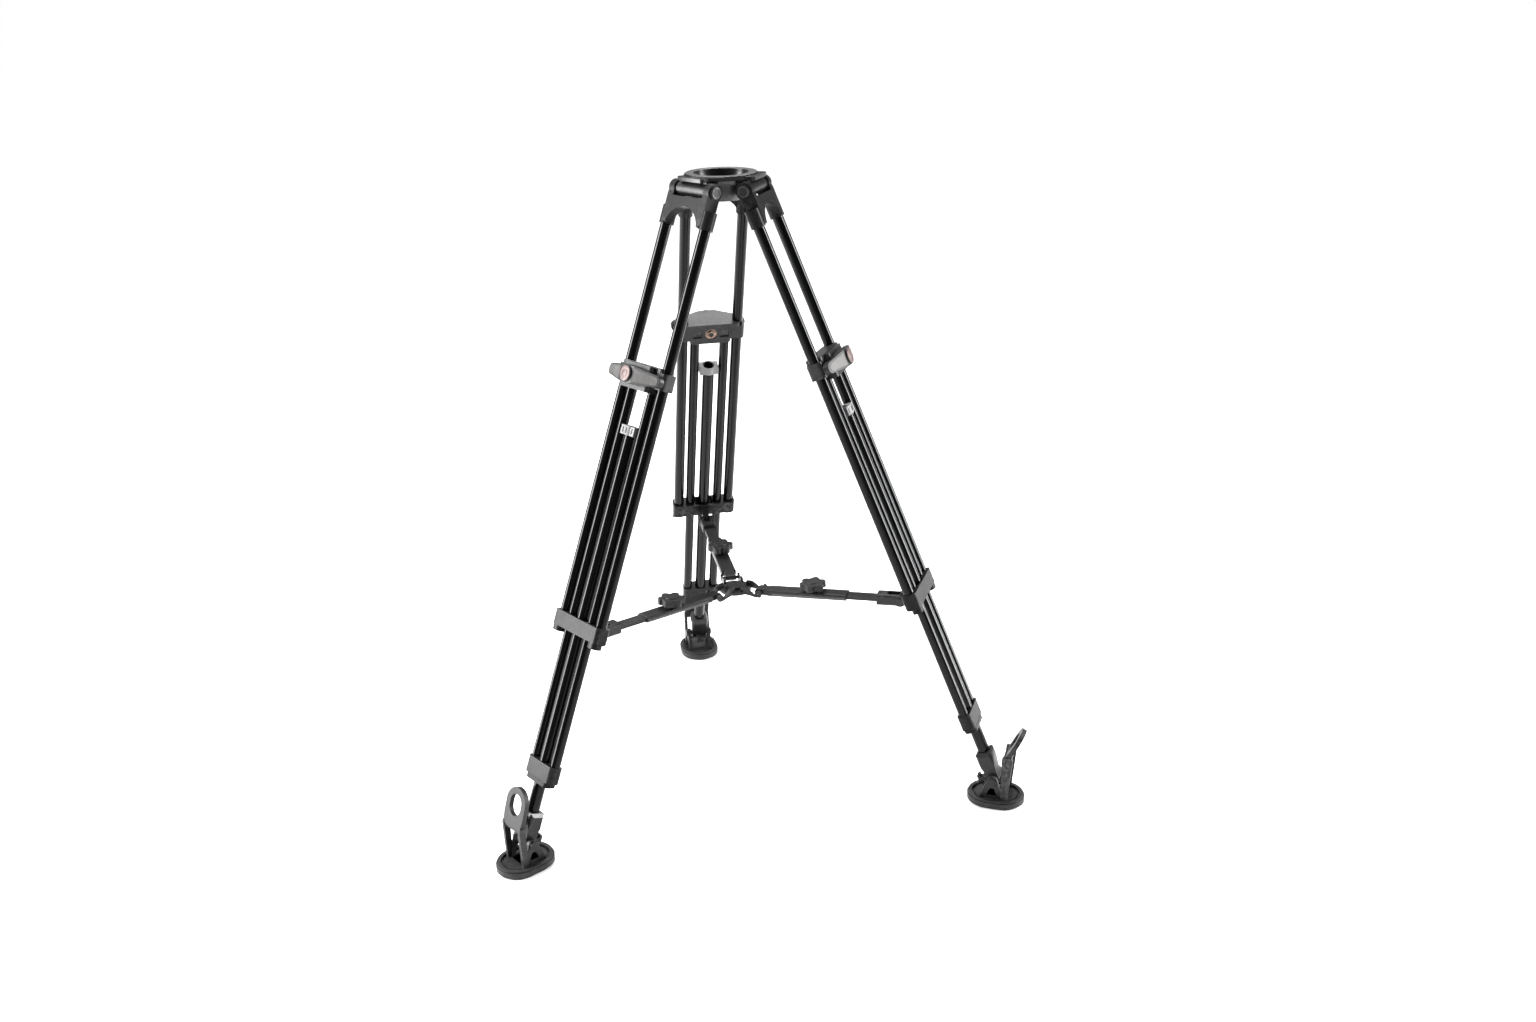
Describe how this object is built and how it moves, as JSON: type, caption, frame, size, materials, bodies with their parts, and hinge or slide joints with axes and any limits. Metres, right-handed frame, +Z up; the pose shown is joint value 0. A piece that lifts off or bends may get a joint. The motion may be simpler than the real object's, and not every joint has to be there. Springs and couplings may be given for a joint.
{
  "type": "tripod",
  "caption": "Twin-tube video tripod with a bowl top, telescopic legs, wing-knob locks, a sliding mid-level spreader and rubber feet on tilting ankles.",
  "frame": {"origin": "on the floor, under the axis of the bowl", "axes": "+Z up along the bowl axis; one leg stands towards +Y, the other two towards -X and +X, both turned to -Y"},
  "size_m": [0.7841, 0.6874, 0.919],
  "materials": {
    "casting_grey": "satin grey paint over die-cast aluminium",
    "casting_dark": "satin dark paint over die-cast aluminium",
    "tube_black": "gloss black anodised",
    "stud_brass": "turned",
    "knob_plastic": "fine grained black",
    "slider_nylon": "grey nylon",
    "ankle_plastic": "black, slightly glossy",
    "spike_steel": "bare",
    "shoe_rubber": "black moulded rubber",
    "pin_steel": "blackened steel",
    "arm_plastic": "black, fine grained"
  },
  "bodies": {
    "crown": {"crown_casting": "casting_dark", "hinge_pins": "pin_steel"},
    "hub": {"spreader_hub": "arm_plastic"},
    "leg_rear": {"yoke_rear": "casting_grey", "outer_tubes_rear": "tube_black", "spreader_bracket_rear": "casting_grey"},
    "mid_rear": {"collar_rear": "casting_grey", "clamp_nut_rear": "stud_brass", "inner_tubes_rear": "tube_black", "end_bracket_rear": "casting_grey"},
    "lock_rear": {"lock_knob_rear": "knob_plastic"},
    "low_rear": {"slider_rear": "slider_nylon", "center_tube_rear": "tube_black", "ankle_rear": "ankle_plastic", "spikes_rear": "spike_steel"},
    "foot_rear": {"foot_pad_rear": "shoe_rubber", "foot_strap_rear": "shoe_rubber", "foot_pin_rear": "pin_steel"},
    "rod_rear": {"arm_rod_rear": "arm_plastic"},
    "sleeve_rear": {"arm_tube_rear": "arm_plastic"},
    "arm_lock_rear": {"arm_knob_rear": "knob_plastic"},
    "leg_left": {"yoke_left": "casting_grey", "outer_tubes_left": "tube_black", "spreader_bracket_left": "casting_grey"},
    "mid_left": {"collar_left": "casting_grey", "clamp_nut_left": "stud_brass", "inner_tubes_left": "tube_black", "end_bracket_left": "casting_grey"},
    "lock_left": {"lock_knob_left": "knob_plastic"},
    "low_left": {"slider_left": "slider_nylon", "center_tube_left": "tube_black", "ankle_left": "ankle_plastic", "spikes_left": "spike_steel"},
    "foot_left": {"foot_pad_left": "shoe_rubber", "foot_strap_left": "shoe_rubber", "foot_pin_left": "pin_steel"},
    "rod_left": {"arm_rod_left": "arm_plastic"},
    "sleeve_left": {"arm_tube_left": "arm_plastic"},
    "arm_lock_left": {"arm_knob_left": "knob_plastic"},
    "leg_right": {"yoke_right": "casting_grey", "outer_tubes_right": "tube_black", "spreader_bracket_right": "casting_grey"},
    "mid_right": {"collar_right": "casting_grey", "clamp_nut_right": "stud_brass", "inner_tubes_right": "tube_black", "end_bracket_right": "casting_grey"},
    "lock_right": {"lock_knob_right": "knob_plastic"},
    "low_right": {"slider_right": "slider_nylon", "center_tube_right": "tube_black", "ankle_right": "ankle_plastic", "spikes_right": "spike_steel"},
    "foot_right": {"foot_pad_right": "shoe_rubber", "foot_strap_right": "shoe_rubber", "foot_pin_right": "pin_steel"},
    "rod_right": {"arm_rod_right": "arm_plastic"},
    "sleeve_right": {"arm_tube_right": "arm_plastic"},
    "arm_lock_right": {"arm_knob_right": "knob_plastic"}
  },
  "joints": [
    {"name": "rear_fold", "type": "hinge", "parent": "crown", "child": "leg_rear", "pos_m": [0, 0.0467, 0.9], "axis": [-1, 0, 0], "range_deg": [0, 15.4]},
    {"name": "rear_mid_slide", "type": "slide", "parent": "leg_rear", "child": "mid_rear", "axis": [0, 0.3811, -0.9245], "range_m": [-0.167, 0.331]},
    {"name": "rear_lock_turn", "type": "hinge", "parent": "mid_rear", "child": "lock_rear", "pos_m": [0, 0.16217, 0.67232], "axis": [0, 0.9245, 0.3811], "range_deg": [0, 180]},
    {"name": "rear_low_slide", "type": "slide", "parent": "mid_rear", "child": "low_rear", "axis": [0, 0.3811, -0.9245], "range_m": [-0.0465, 0.473]},
    {"name": "rear_foot_tilt", "type": "hinge", "parent": "low_rear", "child": "foot_rear", "pos_m": [0, 0.40158, 0.039], "axis": [-1, 0, 0], "range_deg": [-12, 12]},
    {"name": "rear_arm_hinge", "type": "hinge", "parent": "leg_rear", "child": "rod_rear", "pos_m": [0, 0.25675, 0.31165], "axis": [-1, 0, 0], "range_deg": [0, 59.23]},
    {"name": "rear_arm_slide", "type": "slide", "parent": "rod_rear", "child": "sleeve_rear", "axis": [0, 0.9987, 0.0509], "range_m": [0, 0.04402]},
    {"name": "rear_arm_knob_turn", "type": "hinge", "parent": "sleeve_rear", "child": "arm_lock_rear", "pos_m": [0, 0.12289, 0.30483], "axis": [0, -0.0509, 0.9987], "range_deg": [0, 180]},
    {"name": "left_fold", "type": "hinge", "parent": "crown", "child": "leg_left", "pos_m": [-0.04044, -0.02335, 0.9], "axis": [0.5, -0.866, 0], "range_deg": [0, 15.41]},
    {"name": "left_mid_slide", "type": "slide", "parent": "leg_left", "child": "mid_left", "axis": [-0.33, -0.1905, -0.9245], "range_m": [-0.174, 0.3245]},
    {"name": "left_lock_turn", "type": "hinge", "parent": "mid_left", "child": "lock_left", "pos_m": [-0.14259, -0.08232, 0.66631], "axis": [-0.8007, -0.4623, 0.3811], "range_deg": [0, 180]},
    {"name": "left_low_slide", "type": "slide", "parent": "mid_left", "child": "low_left", "axis": [-0.33, -0.1905, -0.9245], "range_m": [-0.0412, 0.47]},
    {"name": "left_foot_tilt", "type": "hinge", "parent": "low_left", "child": "foot_left", "pos_m": [-0.34778, -0.20079, 0.039], "axis": [0.5, -0.866, 0], "range_deg": [-12, 12]},
    {"name": "left_arm_hinge", "type": "hinge", "parent": "leg_left", "child": "rod_left", "pos_m": [-0.22235, -0.12838, 0.31165], "axis": [0.5, -0.866, 0], "range_deg": [0, 59.23]},
    {"name": "left_arm_slide", "type": "slide", "parent": "rod_left", "child": "sleeve_left", "axis": [-0.8649, -0.4994, 0.0509], "range_m": [0, 0.04402]},
    {"name": "left_arm_knob_turn", "type": "hinge", "parent": "sleeve_left", "child": "arm_lock_left", "pos_m": [-0.10643, -0.06144, 0.30483], "axis": [0.0441, 0.0255, 0.9987], "range_deg": [0, 180]},
    {"name": "right_fold", "type": "hinge", "parent": "crown", "child": "leg_right", "pos_m": [0.04044, -0.02335, 0.9], "axis": [0.5, 0.866, 0], "range_deg": [0, 15.41]},
    {"name": "right_mid_slide", "type": "slide", "parent": "leg_right", "child": "mid_right", "axis": [0.33, -0.1905, -0.9245], "range_m": [-0.174, 0.3245]},
    {"name": "right_lock_turn", "type": "hinge", "parent": "mid_right", "child": "lock_right", "pos_m": [0.14259, -0.08232, 0.66631], "axis": [0.8007, -0.4623, 0.3811], "range_deg": [0, 180]},
    {"name": "right_low_slide", "type": "slide", "parent": "mid_right", "child": "low_right", "axis": [0.33, -0.1905, -0.9245], "range_m": [-0.0412, 0.4735]},
    {"name": "right_foot_tilt", "type": "hinge", "parent": "low_right", "child": "foot_right", "pos_m": [0.34778, -0.20079, 0.039], "axis": [0.5, 0.866, 0], "range_deg": [-12, 12]},
    {"name": "right_arm_hinge", "type": "hinge", "parent": "leg_right", "child": "rod_right", "pos_m": [0.22235, -0.12838, 0.31165], "axis": [0.5, 0.866, 0], "range_deg": [0, 59.23]},
    {"name": "right_arm_slide", "type": "slide", "parent": "rod_right", "child": "sleeve_right", "axis": [0.8649, -0.4994, 0.0509], "range_m": [0, 0.04402]},
    {"name": "right_arm_knob_turn", "type": "hinge", "parent": "sleeve_right", "child": "arm_lock_right", "pos_m": [0.10643, -0.06144, 0.30483], "axis": [-0.0441, 0.0255, 0.9987], "range_deg": [0, 180]},
    {"name": "hub_slide", "type": "slide", "parent": "crown", "child": "hub", "axis": [0, 0, 1], "range_m": [0, 0.14277]}
  ],
  "couplings": [
    {"joint": "rear_arm_hinge", "follows": "rear_fold", "ratio": 3.8451},
    {"joint": "rear_arm_slide", "follows": "rear_fold", "m_per_rad": 0.1637},
    {"joint": "left_fold", "follows": "rear_fold", "ratio": 1},
    {"joint": "left_arm_hinge", "follows": "rear_fold", "ratio": 3.8451},
    {"joint": "left_arm_slide", "follows": "rear_fold", "m_per_rad": 0.1637},
    {"joint": "right_fold", "follows": "rear_fold", "ratio": 1},
    {"joint": "right_arm_hinge", "follows": "rear_fold", "ratio": 3.8451},
    {"joint": "right_arm_slide", "follows": "rear_fold", "m_per_rad": 0.1637},
    {"joint": "hub_slide", "follows": "rear_fold", "m_per_rad": 0.53082}
  ]
}
